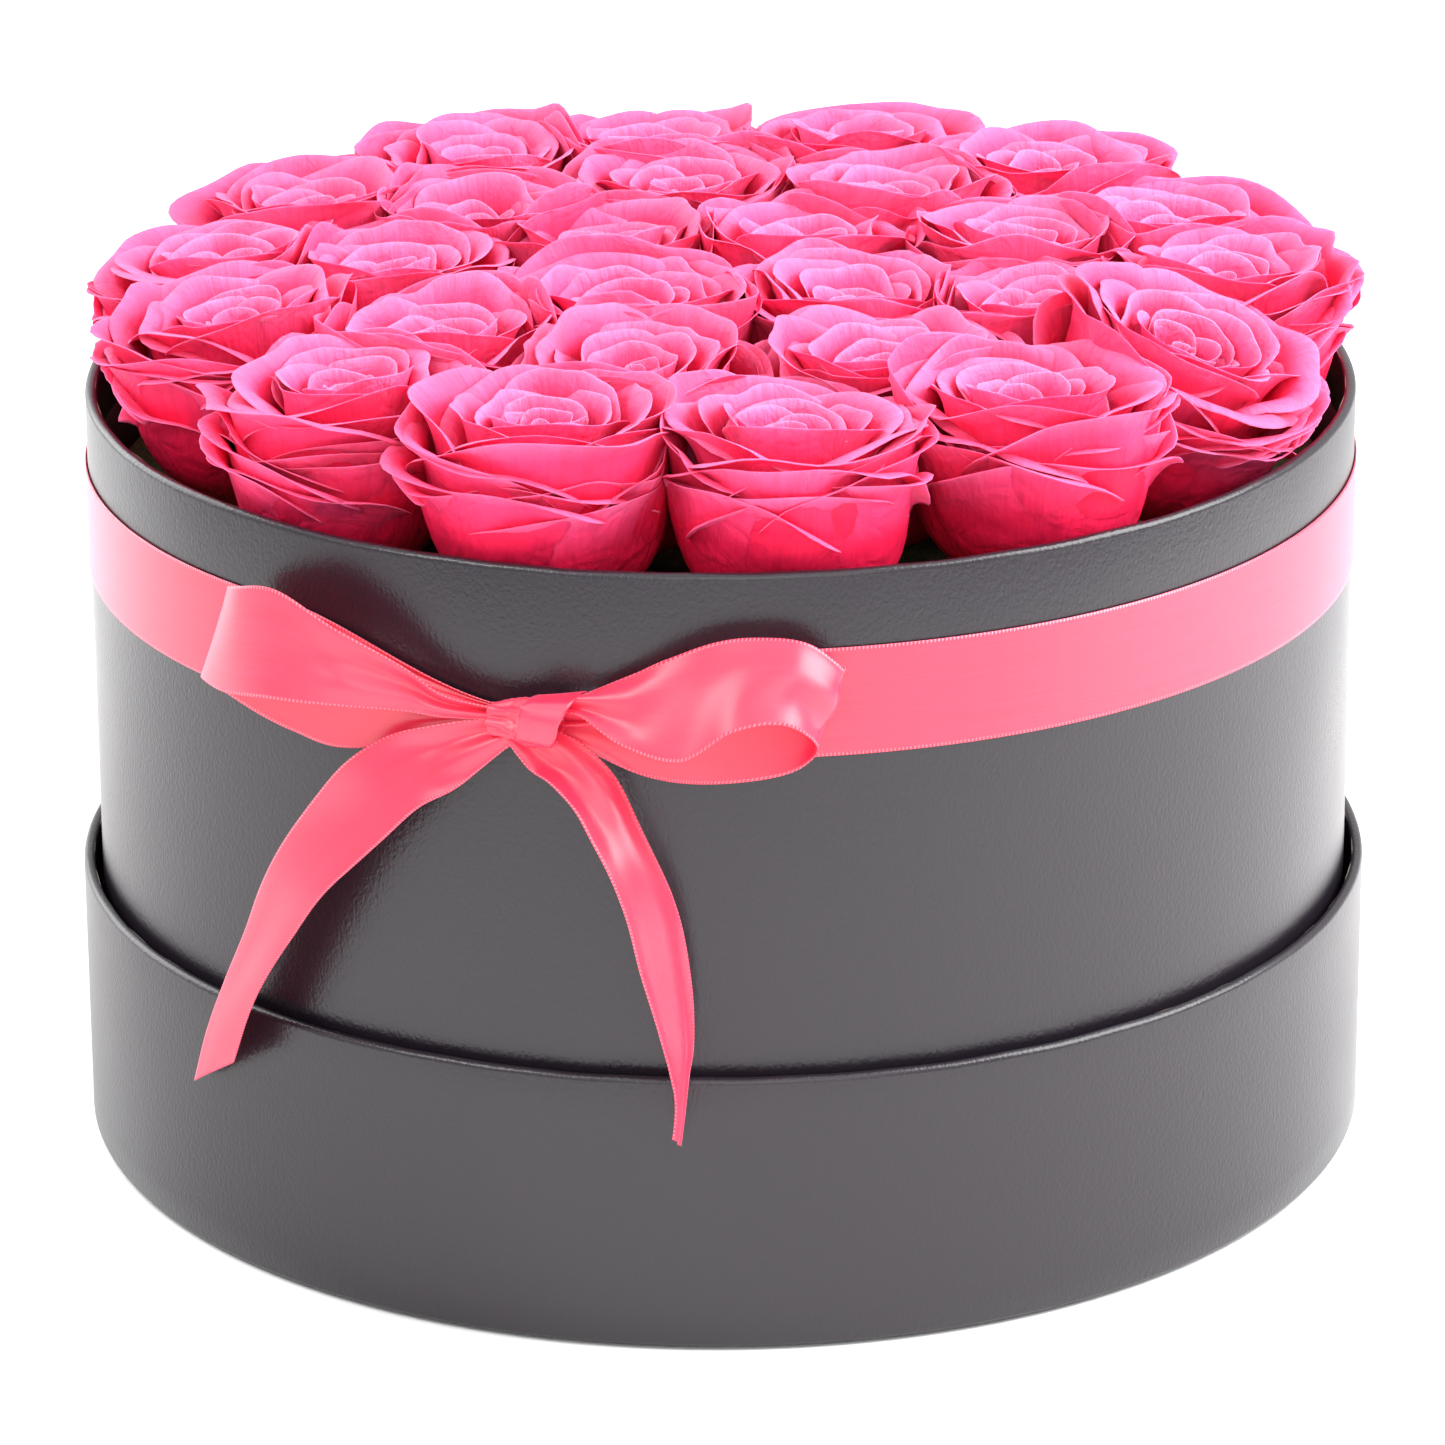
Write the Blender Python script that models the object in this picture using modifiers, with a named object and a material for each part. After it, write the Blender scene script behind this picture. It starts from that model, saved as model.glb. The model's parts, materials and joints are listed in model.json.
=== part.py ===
"""A round paper hat box full of preserved roses, tied with a satin ribbon and standing in its upturned lid.

Units are metres and +Z is up. The origin is the centre of the lid's underside, on the surface that the part
stands on. The bow faces -Y. Three groups come apart: the lid, the box with its ribbon, and the insert of
deck, foam and roses, which lifts out of the box.
"""

import math

import bmesh
import bpy
from mathutils import Matrix, Vector

# ---- driving dimensions ----------------------------------------------------------------------------------
BOX_RADIUS = 0.150  # outside of the box
BOX_HEIGHT = 0.180
LID_HEIGHT = 0.066
LID_CLEARANCE = 0.0017  # between the box and the inside of the lid, on the radius
BOARD = 0.0017  # grey board of the walls, the floor and the lid's panel
PAPER = 0.00025  # black covering paper and lining
GAP = 0.0003  # glue line, or clearance, between two touching pieces
TURN_IN = 0.015  # how far the covering paper turns down inside a rim
TURN_UNDER = 0.012  # how far it turns under a floor
PAPER_MARGIN = 0.002  # the round paper under a floor stops this far inside the edge
SIDES = 48  # facets of a round wall
HEAD_SIDES = 12
HOLE_SIDES = 8
KNOT_SIDES = (14, 8)

RIBBON_WIDTH = 0.025
RIBBON_THICKNESS = 0.0006
BAND_DROP = 0.030  # middle of the ribbon's turn, below the box's rim
BAND_STEPS = 96
GATHER_FROM = 0.045  # along the wall, where the turn starts to narrow towards the knot
GATHER_TOP = 0.009  # how much its upper and its lower edge draw in at the knot
GATHER_BOTTOM = 0.005
KNOT_SIZE = (0.0184, 0.0166, 0.0124)  # along the wall, up, and off the wall
KNOT_LIFT = 0.0076  # of the knot's middle off the wall
KNOT_DROP = 0.005  # of the knot's middle below the turn's middle

HEAD_RADIUS = 0.027  # of a rose that nothing presses
HEAD_HEIGHT = 0.054
HEAD_RISE = 0.026  # top of the roses above the box's rim
STEM_RADIUS = 0.003
STEM_LENGTH = 0.024
HOLE_CLEARANCE = 0.0006
WALL_CLEARANCE = 0.0012  # between a rose or the foam and the lining
FOAM_THICKNESS = 0.045
DECK_THICKNESS = 0.003
COLLAR_THICKNESS = 0.003
COLLAR_INSET = 0.012  # of the collar inside the deck's edge

# The stems stand in three evenly spaced rings, from the wall inwards. Bearings are in degrees from +X.
HEAD_MARGIN = 0.001  # between the outer ring's heads and the clearance at the wall
INNER_RING = 0.036
BEARINGS = (
    (-121, -94, -67, -39, -14, 13, 38, 63, 89, 113, 136, 161, 187, 212),
    (-130, -87, -45, -4, 32, 71, 111, 153, 193),
    (-110, -16, 67, 148),
)

# ---- derived places --------------------------------------------------------------------------------------
LAYER = PAPER + GAP
WALL = BOARD + 2 * LAYER
LID_RADIUS = BOX_RADIUS + LID_CLEARANCE + WALL
BOX_BASE = 2 * LAYER + BOARD + GAP  # the box's underside, on the lid's panel
BOX_RIM = BOX_BASE + BOX_HEIGHT
BOX_INSIDE = BOX_RADIUS - WALL
FLOOR_TOP = BOX_BASE + 2 * LAYER + BOARD
INSERT_RADIUS = BOX_INSIDE - WALL_CLEARANCE
HEAD_TOP = BOX_RIM + HEAD_RISE
HEAD_BASE = HEAD_TOP - HEAD_HEIGHT
FOAM_TOP = HEAD_BASE - GAP
FOAM_BASE = FOAM_TOP - FOAM_THICKNESS
DECK_BASE = FOAM_BASE - GAP - DECK_THICKNESS
COLLAR_BASE = FLOOR_TOP + GAP
OUTER_RING = INSERT_RADIUS - HEAD_RADIUS - HEAD_MARGIN
RING_PITCH = (OUTER_RING - INNER_RING) / (len(BEARINGS) - 1)
BAND_MIDDLE = BOX_RIM - BAND_DROP

# ---- ribbon routes ---------------------------------------------------------------------------------------
# Each strip has two edges, drawn for a ribbon of ROUTE_WIDTH. A point is millimetres along the wall from the
# knot (+ is to the right of someone who faces the bow), above the middle of the turn, and off the wall.
ROUTE_WIDTH = 0.025
STRIPS = {
    "bow_loop_left": (
        ((-10, 2.5, 6), (-28, 6.5, 8), (-42, 13.5, 10), (-56, 20, 11), (-67, 18.5, 12), (-74, 15, 8),
         (-70, 11, 4), (-50, 7, 2.4), (-28, 5, 2.2), (-10, 2, 2.5)),
        ((-10, -0.5, 7), (-28, -2, 10), (-42, -3, 13), (-56, -4.5, 15), (-70, -6.5, 14), (-83, -8, 9),
         (-80, -13, 4), (-62, -17, 2.6), (-45, -17.7, 2.4), (-10, -7, 2.5)),
    ),
    "bow_loop_right": (
        ((10, 4, 5.5), (22, 9.5, 6), (38, 16.5, 6.5), (49, 18, 7), (58.5, 16.5, 8), (66, 10, 8),
         (64, 10.5, 4.5), (49, 8, 2.6), (24, 6.5, 2.2), (10, 1, 2.5)),
        ((10, 0, 9), (20, -5, 13), (32, -7, 17), (42, 0.5, 19), (52, 1.5, 18), (59, -6, 13),
         (55, -13.5, 7), (38, -17.5, 2.6), (24, -16, 2.2), (10, -10, 2.5)),
    ),
    "bow_tail_left": (
        ((-10.4, -4, 5.8), (-22.5, -7, 7), (-33, -11, 7.5), (-43, -19, 8), (-52.5, -30.5, 8), (-60.5, -42, 8),
         (-67, -54, 8), (-73, -67, 8), (-80, -81, 8), (-87, -95.5, 8), (-93, -110, 8)),
        ((-8.6, -13.5, 9), (-11.5, -16, 11), (-16, -19, 13), (-22.5, -23.5, 14.5), (-30.5, -32, 15.5),
         (-38, -40.5, 15.5), (-45, -49, 15.5), (-52, -59, 15.5), (-59.5, -71, 15), (-67, -84, 14),
         (-73.5, -97.5, 13.5)),
    ),
    "bow_tail_right": (
        ((10.8, -9.5, 6), (14.5, -13.5, 6), (18, -18.5, 6), (21.5, -26, 6), (25, -34, 6), (29, -43.5, 6),
         (32, -53, 6), (34, -65, 6), (34, -78, 6), (33, -85, 6.5), (32, -92, 7.5), (30.5, -101, 9)),
        ((1.5, -15.5, 9.5), (5, -16.5, 14), (9.5, -17.5, 19), (14, -20, 24), (18, -26, 27), (21.5, -34.5, 28),
         (24.5, -43, 28), (27, -55, 28), (30, -68, 28), (32, -75, 29), (32.5, -81, 30), (31, -89.5, 31)),
    ),
}
STRIP_STEPS = 3  # mesh rows for each stretch between two points


# ---- helpers ---------------------------------------------------------------------------------------------
def empty_scene():
    for old in list(bpy.data.objects):
        bpy.data.objects.remove(old)


def new_collection(name):
    made = bpy.data.collections.new(name)
    bpy.context.scene.collection.children.link(made)
    return made


def new_material(name, colour, roughness, metallic=0.0):
    made = bpy.data.materials.new(name)
    made.use_nodes = True
    shader = made.node_tree.nodes["Principled BSDF"]
    shader.inputs["Base Color"].default_value = (*colour, 1)
    shader.inputs["Roughness"].default_value = roughness
    shader.inputs["Metallic"].default_value = metallic
    return made


def add_object(name, mesh, look, collection, smooth=True):
    made = bpy.data.objects.new(name, mesh)
    if look:
        mesh.materials.append(look)
    if smooth:
        mesh.shade_smooth()
        mesh.set_sharp_from_angle(angle=math.radians(35))
    collection.objects.link(made)
    return made


def mesh_of(name, bm):
    mesh = bpy.data.meshes.new(name)
    bm.to_mesh(mesh)
    bm.free()
    return mesh


def turned(name, profile, look, collection, sides=SIDES):
    """A closed outline of (radius, height) points, turned once round the Z axis by a Screw modifier.

    The outline runs down its outer side and up its inner side. One that ends on the axis stays open there.
    """
    bm = bmesh.new()
    points = [bm.verts.new((radius, 0, height)) for radius, height in profile]
    for first, second in zip(points, points[1:]):
        bm.edges.new((first, second))
    if profile[0][0] > 0:
        bm.edges.new((points[-1], points[0]))
    made = add_object(name, mesh_of(name, bm), look, collection, smooth=False)
    screw = made.modifiers.new("turn", "SCREW")
    screw.steps = sides
    screw.render_steps = sides
    screw.use_merge_vertices = True
    screw.merge_threshold = 0.0001
    return made


def ring(name, outer, inner, top, bottom, look, collection):
    return turned(name, ((outer, top), (outer, bottom), (inner, bottom), (inner, top)), look, collection)


def disc(name, radius, top, bottom, look, collection):
    return turned(name, ((0, top), (radius, top), (radius, bottom), (0, bottom)), look, collection)


def wrap(name, outer, top, bottom, look, collection):
    """Covering paper: under the floor, up the wall, over the rim and down inside it."""
    inner = outer - WALL
    profile = (
        (outer, top), (outer, bottom), (outer - TURN_UNDER, bottom), (outer - TURN_UNDER, bottom + PAPER),
        (outer - PAPER, bottom + PAPER), (outer - PAPER, top - PAPER), (inner + PAPER, top - PAPER),
        (inner + PAPER, top - TURN_IN), (inner, top - TURN_IN), (inner, top),
    )
    return turned(name, profile, look, collection)


def shell(prefix, floor_name, outer, base, rim, looks, collection):
    """The five pieces of a covered round tray, which is how both the lid and the box are made."""
    board_outer = outer - LAYER
    board_inner = board_outer - BOARD
    floor_base = base + 2 * LAYER
    floor_top = floor_base + BOARD
    ring(f"{prefix}_wall", board_outer, board_inner, rim - LAYER, floor_base, looks["board"], collection)
    disc(f"{prefix}_{floor_name}", board_inner - GAP, floor_top, floor_base, looks["board"], collection)
    wrap(f"{prefix}_wrap", outer, rim, base + LAYER, looks["wrap"], collection)
    disc(f"{prefix}_{floor_name}_paper", outer - PAPER_MARGIN, base + PAPER, base, looks["wrap"], collection)
    ring(f"{prefix}_lining", board_inner - GAP, outer - WALL, rim - TURN_IN - GAP, floor_top + GAP,
         looks["lining"], collection)


def wall_point(along, height, off):
    """A place by the box's wall: along it from the knot, above the ribbon's middle, and off its surface."""
    bearing = along / BOX_RADIUS - math.pi / 2
    radius = BOX_RADIUS + off
    return Vector((radius * math.cos(bearing), radius * math.sin(bearing), BAND_MIDDLE + height))


def spread(upper, lower):
    """Two edge routes in metres, drawn apart or together where the ribbon isn't ROUTE_WIDTH wide."""
    above, below = [], []
    for first, second in zip(upper, lower):
        middle = (Vector(first) + Vector(second)) / 2000
        half = (Vector(first) - Vector(second)) / 2000 * RIBBON_WIDTH / ROUTE_WIDTH
        above.append(middle + half)
        below.append(middle - half)
    return above, below


def smooth_route(places, steps):
    """Points of a Catmull-Rom curve through a list of places."""
    padded = [2 * places[0] - places[1], *places, 2 * places[-1] - places[-2]]
    route = []
    for before, start, end, after in zip(padded, padded[1:], padded[2:], padded[3:]):
        for step in range(steps):
            t = step / steps
            route.append(0.5 * (2 * start + (end - before) * t
                                + (2 * before - 5 * start + 4 * end - after) * t * t
                                + (3 * start - before - 3 * end + after) * t ** 3))
    return [*route, places[-1]]


def strip(name, edges, look, collection):
    """A ribbon surface between two edge routes, given its thickness by a Solidify modifier."""
    upper, lower = edges
    bm = bmesh.new()
    bmesh.ops.create_grid(bm, x_segments=len(upper) - 1, y_segments=1, size=1)
    rows = sorted({round(vertex.co.x, 5) for vertex in bm.verts})
    for vertex in bm.verts:
        place = rows.index(round(vertex.co.x, 5))
        edge = upper if vertex.co.y > 0 else lower
        vertex.co = wall_point(*edge[place])
    made = add_object(name, mesh_of(name, bm), look, collection)
    thickness = made.modifiers.new("thickness", "SOLIDIFY")
    thickness.thickness = RIBBON_THICKNESS
    thickness.offset = 0
    return made


# ---- pieces ----------------------------------------------------------------------------------------------
def make_lid(looks, collection):
    shell("lid", "panel", LID_RADIUS, 0, LID_HEIGHT, looks, collection)


def make_box(looks, collection):
    shell("box", "floor", BOX_RADIUS, BOX_BASE, BOX_RIM, looks, collection)


def gather(along):
    """0 where the ribbon's turn lies flat on the wall, rising to 1 at the knot."""
    share = max(0.0, 1 - abs(along) / GATHER_FROM)
    return share * share * (3 - 2 * share)


def make_ribbon(look, collection):
    step = 2 * math.pi * BOX_RADIUS / BAND_STEPS
    half = RIBBON_WIDTH / 2
    off = GAP + RIBBON_THICKNESS / 2
    places = [number * step for number in range(1, BAND_STEPS)]
    shortest = [min(place, BAND_STEPS * step - place) for place in places]
    top = [(place, half - GATHER_TOP * gather(near), off) for place, near in zip(places, shortest)]
    bottom = [(place, GATHER_BOTTOM * gather(near) - half, off) for place, near in zip(places, shortest)]
    strip("ribbon_band", (top, bottom), look, collection)
    for name, (upper, lower) in STRIPS.items():
        edges = [smooth_route(edge, STRIP_STEPS) for edge in spread(upper, lower)]
        strip(name, edges, look, collection)
    make_knot(look, collection)


def make_knot(look, collection):
    bm = bmesh.new()
    bmesh.ops.create_uvsphere(bm, u_segments=KNOT_SIDES[0], v_segments=KNOT_SIDES[1], radius=0.5)
    bmesh.ops.scale(bm, verts=bm.verts, vec=(KNOT_SIZE[0], KNOT_SIZE[2], KNOT_SIZE[1]))
    bmesh.ops.translate(bm, verts=bm.verts, vec=wall_point(0, -KNOT_DROP, KNOT_LIFT))
    add_object("bow_knot", mesh_of("bow_knot", bm), look, collection)


def stem_places():
    places = []
    for number, bearings in enumerate(BEARINGS):
        radius = OUTER_RING - number * RING_PITCH
        for bearing in bearings:
            angle = math.radians(bearing)
            places.append(Vector((radius * math.cos(angle), radius * math.sin(angle), 0)))
    return places


def make_rose(name, place, neighbours, look, collection):
    """A head and its stem, turned as one, with a flat side where each neighbour or the box presses it."""
    profile = (
        (0, HEAD_BASE - STEM_LENGTH), (STEM_RADIUS, HEAD_BASE - STEM_LENGTH), (STEM_RADIUS, HEAD_BASE),
        (0.35 * HEAD_RADIUS, HEAD_BASE), (0.85 * HEAD_RADIUS, HEAD_BASE + 0.30 * HEAD_HEIGHT),
        (HEAD_RADIUS, HEAD_BASE + 0.62 * HEAD_HEIGHT), (0.90 * HEAD_RADIUS, HEAD_BASE + 0.88 * HEAD_HEIGHT),
        (0.50 * HEAD_RADIUS, HEAD_TOP), (0, HEAD_TOP),
    )
    bm = bmesh.new()
    outline = [bm.verts.new((radius, 0, height)) for radius, height in profile]
    edges = [bm.edges.new(pair) for pair in zip(outline, outline[1:])]
    bmesh.ops.spin(bm, geom=[*outline, *edges], axis=(0, 0, 1), cent=(0, 0, 0), angle=2 * math.pi,
                   steps=HEAD_SIDES, use_merge=True)
    bmesh.ops.remove_doubles(bm, verts=bm.verts, dist=0.00001)
    bmesh.ops.recalc_face_normals(bm, faces=bm.faces)
    bmesh.ops.translate(bm, verts=bm.verts, vec=place)
    presses = []
    for other in neighbours:
        if (other - place).length < 2 * HEAD_RADIUS + GAP:
            towards = (other - place).normalized()
            presses.append(((place + other) / 2 - towards * GAP / 2, towards))
    outwards = place.normalized()
    presses.append((outwards * INSERT_RADIUS * math.cos(math.pi / SIDES), outwards))
    for point, normal in presses:
        cut = bmesh.ops.bisect_plane(bm, geom=[*bm.verts, *bm.edges, *bm.faces], plane_co=point,
                                     plane_no=normal, clear_outer=True)
        rim = [part for part in cut["geom_cut"] if isinstance(part, bmesh.types.BMEdge)]
        if rim:
            bmesh.ops.edgeloop_fill(bm, edges=rim)
    bmesh.ops.recalc_face_normals(bm, faces=bm.faces)
    add_object(name, mesh_of(name, bm), look, collection)


def make_insert(looks, collection, cutters):
    disc("riser_deck", INSERT_RADIUS, DECK_BASE + DECK_THICKNESS, DECK_BASE, looks["deck"], collection)
    collar_outer = INSERT_RADIUS - COLLAR_INSET
    ring("riser_collar", collar_outer, collar_outer - COLLAR_THICKNESS, DECK_BASE - GAP, COLLAR_BASE,
         looks["deck"], collection)
    foam = disc("foam_block", INSERT_RADIUS, FOAM_TOP, FOAM_BASE, looks["foam"], collection)

    places = stem_places()
    drill = bmesh.new()
    hole_depth = STEM_LENGTH + GAP
    for place in places:
        middle = Matrix.Translation(place + Vector((0, 0, FOAM_TOP + GAP - hole_depth / 2)))
        bmesh.ops.create_cone(drill, cap_ends=True, segments=HOLE_SIDES, radius1=STEM_RADIUS + HOLE_CLEARANCE,
                              radius2=STEM_RADIUS + HOLE_CLEARANCE, depth=hole_depth + 2 * GAP, matrix=middle)
    cutter = add_object("stem_holes", mesh_of("stem_holes", drill), None, cutters, smooth=False)
    cutter.hide_render = True
    cutter.display_type = "WIRE"
    holes = foam.modifiers.new("stem holes", "BOOLEAN")
    holes.operation = "DIFFERENCE"
    holes.solver = "EXACT"
    holes.object = cutter

    for number, place in enumerate(places, 1):
        neighbours = [other for other in places if other is not place]
        make_rose(f"rose_{number:02d}", place, neighbours, looks["petals"], collection)


def main():
    empty_scene()
    parts = new_collection("flower_box")
    cutters = new_collection("cutters")
    looks = {
        "board": new_material("grey board", (0.30, 0.27, 0.23), 0.9),
        "wrap": new_material("black embossed paper", (0.035, 0.034, 0.037), 0.42),
        "lining": new_material("black lining paper", (0.03, 0.028, 0.03), 0.7),
        "deck": new_material("brown corrugated board", (0.42, 0.29, 0.17), 0.9),
        "foam": new_material("dry floral foam", (0.20, 0.26, 0.14), 0.95),
        "petals": new_material("preserved rose petals", (0.90, 0.06, 0.22), 0.6),
        "ribbon": new_material("satin ribbon", (0.95, 0.14, 0.22), 0.35),
    }
    make_lid(looks, parts)
    make_box(looks, parts)
    make_ribbon(looks["ribbon"], parts)
    make_insert(looks, parts, cutters)


main()
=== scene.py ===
# %% [markdown]
# # A hat box of preserved roses
# The part is a round paper box that stands in its own upturned lid, is tied with a satin ribbon and is full
# of preserved rose heads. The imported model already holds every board, block and joint at its real size.
# This script gives each visible piece its surface: paper that wraps over real rims, ribbon that gathers into
# a knot, and roses made petal by petal. It starts by loading that model and keeping its size.

# %% Load the frame
import json
import math
import random

import bmesh
import bpy
from mathutils import Matrix, Vector, noise

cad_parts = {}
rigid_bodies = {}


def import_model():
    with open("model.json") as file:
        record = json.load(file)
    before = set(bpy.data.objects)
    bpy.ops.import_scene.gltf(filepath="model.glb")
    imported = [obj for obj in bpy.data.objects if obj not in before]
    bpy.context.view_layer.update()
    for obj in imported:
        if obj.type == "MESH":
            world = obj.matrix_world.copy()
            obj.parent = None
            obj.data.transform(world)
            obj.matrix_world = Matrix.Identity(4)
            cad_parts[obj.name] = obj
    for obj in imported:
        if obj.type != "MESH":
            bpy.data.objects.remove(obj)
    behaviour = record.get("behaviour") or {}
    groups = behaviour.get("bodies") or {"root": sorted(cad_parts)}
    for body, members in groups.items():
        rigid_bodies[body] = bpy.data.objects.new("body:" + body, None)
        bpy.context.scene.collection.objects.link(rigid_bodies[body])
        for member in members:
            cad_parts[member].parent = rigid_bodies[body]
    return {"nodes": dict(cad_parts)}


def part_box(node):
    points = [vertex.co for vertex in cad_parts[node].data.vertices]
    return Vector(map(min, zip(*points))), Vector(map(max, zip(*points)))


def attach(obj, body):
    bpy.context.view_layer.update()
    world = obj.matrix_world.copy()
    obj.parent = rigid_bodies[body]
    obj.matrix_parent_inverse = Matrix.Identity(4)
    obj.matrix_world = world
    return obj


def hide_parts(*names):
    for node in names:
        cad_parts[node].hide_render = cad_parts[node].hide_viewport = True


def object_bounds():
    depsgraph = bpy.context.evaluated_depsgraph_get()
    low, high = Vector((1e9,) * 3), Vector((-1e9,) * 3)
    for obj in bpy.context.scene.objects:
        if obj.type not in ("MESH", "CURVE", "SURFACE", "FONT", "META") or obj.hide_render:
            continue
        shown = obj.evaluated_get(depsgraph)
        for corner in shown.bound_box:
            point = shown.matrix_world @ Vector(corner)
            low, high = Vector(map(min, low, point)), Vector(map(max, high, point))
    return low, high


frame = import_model()
cad_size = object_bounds()
MM = 0.001
print("the frame measures", [round(side / MM) for side in Vector(cad_size[1]) - Vector(cad_size[0])], "mm")

# %% [markdown]
# ## Places that everything shares
# Nothing below is placed by eye. The box's radius, its rim and the ribbon's height are read from the packed
# nodes, so a change to the model moves the looks with it.

# %% Read the places
box_low, box_high = (Vector(corner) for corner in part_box("box_wrap"))
lid_low, lid_high = (Vector(corner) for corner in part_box("lid_wrap"))
band_low, band_high = (Vector(corner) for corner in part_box("ribbon_band"))
lining_high = Vector(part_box("box_lining")[1])
BOX_RADIUS = box_high.x
BOX_RIM = box_high.z
LID_RADIUS = lid_high.x
LID_RIM = lid_high.z
BAND_MIDDLE = (band_low.z + band_high.z) / 2
print("box radius", round(BOX_RADIUS / MM, 1), "rim", round(BOX_RIM / MM, 1), "lid radius",
      round(LID_RADIUS / MM, 1), "lid rim", round(LID_RIM / MM, 1), "mm")

# %% [markdown]
# ## Camera
# The box is seen from a little to the right of its bow and from about 20 degrees above, through a long lens
# that keeps the round rims calm. The camera is aimed by its height and pitch, not at a point, because that
# is how a studio tripod is set.

# %% Set the camera
CAMERA_BEARING = math.radians(15.4)  # round the box from the bow
CAMERA_DISTANCE = 1.5854
CAMERA_HEIGHT = 0.6820
CAMERA_PITCH = math.radians(20.37)
CAMERA_ROLL = math.radians(-0.35)
FIELD_OF_VIEW = math.radians(11.7682)

camera_data = bpy.data.cameras.new("camera")
camera_data.sensor_fit = "HORIZONTAL"
camera_data.angle = FIELD_OF_VIEW
camera = bpy.data.objects.new("camera", camera_data)
bpy.context.scene.collection.objects.link(camera)
camera.matrix_world = (
    Matrix.Rotation(CAMERA_BEARING, 4, "Z")
    @ Matrix.Translation((0, -CAMERA_DISTANCE, CAMERA_HEIGHT))
    @ Matrix.Rotation(math.pi / 2 - CAMERA_PITCH, 4, "X")
    @ Matrix.Rotation(CAMERA_ROLL, 4, "Z")
)
bpy.context.scene.camera = camera
print("lens", round(camera_data.lens, 1), "mm")

# %% [markdown]
# ## Floor and light
# A product like this is lit by large soft boxes in a white room. Black laminated paper shows the room more
# than its own colour, so the white surround matters as much as the lamps: it whitens the paper where the
# wall turns away. The Standard view transform keeps the pinks as clean as they are chosen.


# %% Colour and node helpers
def srgb(code):
    """A hex colour such as "ff8040" as linear red, green, blue and an alpha of 1."""
    channels = [int(code[place:place + 2], 16) / 255 for place in (0, 2, 4)]
    turned = [c / 12.92 if c <= 0.04045 else ((c + 0.055) / 1.055) ** 2.4 for c in channels]
    return (*turned, 1.0)


def feed(tree, node, inputs):
    """Sets a node's inputs. Each is a value, or the socket that feeds it."""
    for name, value in inputs.items():
        if isinstance(value, bpy.types.NodeSocket):
            tree.links.new(value, node.inputs[name])
        else:
            node.inputs[name].default_value = value


def add(tree, kind, inputs=None, **settings):
    """Adds one node with its settings and its inputs."""
    made = tree.nodes.new(kind)
    for name, value in settings.items():
        setattr(made, name, value)
    feed(tree, made, inputs or {})
    return made


def new_material(name):
    """An empty node material, with its tree, its shader and its coordinates."""
    made = bpy.data.materials.new(name)
    made.use_nodes = True
    tree = made.node_tree
    return made, tree, tree.nodes["Principled BSDF"], tree.nodes.new("ShaderNodeTexCoord")


# %% Make the floor and the lights
bpy.context.scene.view_settings.view_transform = "Standard"

room = bpy.data.worlds.new("white room")
room.use_nodes = True
feed(room.node_tree, room.node_tree.nodes["Background"], {"Color": (1, 1, 1, 1), "Strength": 0.9})
bpy.context.scene.world = room

FLOOR_GAP = 0.5 * MM  # under the box, so that the two never share a plane
floor_mesh = bpy.data.meshes.new("floor")
bm = bmesh.new()
bmesh.ops.create_grid(bm, x_segments=1, y_segments=1, size=6)
bmesh.ops.translate(bm, verts=bm.verts, vec=(0, 0, -FLOOR_GAP))
bm.to_mesh(floor_mesh)
bm.free()
floor = bpy.data.objects.new("floor", floor_mesh)
bpy.context.scene.collection.objects.link(floor)
floor_look, tree, shader, _ = new_material("matt white studio floor")
feed(tree, shader, {"Base Color": srgb("f7f7f7"), "Roughness": 0.9})
floor_mesh.materials.append(floor_look)

LAMPS = (  # name, bearing from the camera, height, distance, size, watts
    ("soft box above", 0, 1.5, 0.2, 1.4, 6),
    ("soft box front", 5, 0.9, 1.5, 1.2, 10),
    ("strip light front left", -50, 1.0, 1.0, 0.45, 6),
    ("soft box left", -125, 0.50, 0.9, 0.8, 8),
    ("soft box right", 80, 0.70, 0.8, 0.8, 20),
)
LAMP_AIM = Vector((0, -0.12, 0))  # the foot of the box's near wall
for name, bearing, height, distance, size, power in LAMPS:
    lamp_data = bpy.data.lights.new(name, "AREA")
    lamp_data.size = size
    lamp_data.energy = power
    lamp = bpy.data.objects.new(name, lamp_data)
    bpy.context.scene.collection.objects.link(lamp)
    turn = Matrix.Rotation(CAMERA_BEARING + math.radians(bearing), 4, "Z")
    lamp.location = turn @ Vector((0, -distance, height))
    aim = turn @ LAMP_AIM - lamp.location
    lamp.rotation_euler = aim.to_track_quat("-Z", "Y").to_euler()
print(len(LAMPS), "soft boxes")


# %% Mesh helpers
def object_from(name, bm, *looks, body, slot, replaces=()):
    """Turns a bmesh into a finished piece that rides on a body and stands for some nodes."""
    mesh = bpy.data.meshes.new(name)
    bm.to_mesh(mesh)
    bm.free()
    made = bpy.data.objects.new(name, mesh)
    bpy.context.scene.collection.objects.link(made)
    for look in looks:
        mesh.materials.append(look)
    mesh.shade_smooth()
    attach(made, body)
    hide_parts(*replaces)
    return made


def thicken(made, name, thickness, offset=0):
    """Gives a sheet its thickness, to both sides of the surface or, with an offset of -1, behind it."""
    solid = made.modifiers.new(name, "SOLIDIFY")
    solid.thickness = thickness
    solid.offset = offset


def eased(value):
    """0 below 0, 1 above 1, and a smooth step between."""
    value = min(1.0, max(0.0, value))
    return value * value * (3 - 2 * value)


# %% [markdown]
# ## Black embossed paper
# The box and the lid are covered with black paper that was film laminated and pressed between rollers with
# a fine grain. The film is clear polymer, so nearly all that shows is the white room in it: hardly any at
# the middle, and more and more where the wall turns away. The grain only bends the light, so it is a bump.
# Real grain is about 0.3 mm wide and is drawn at 0.5 mm to show.

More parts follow.
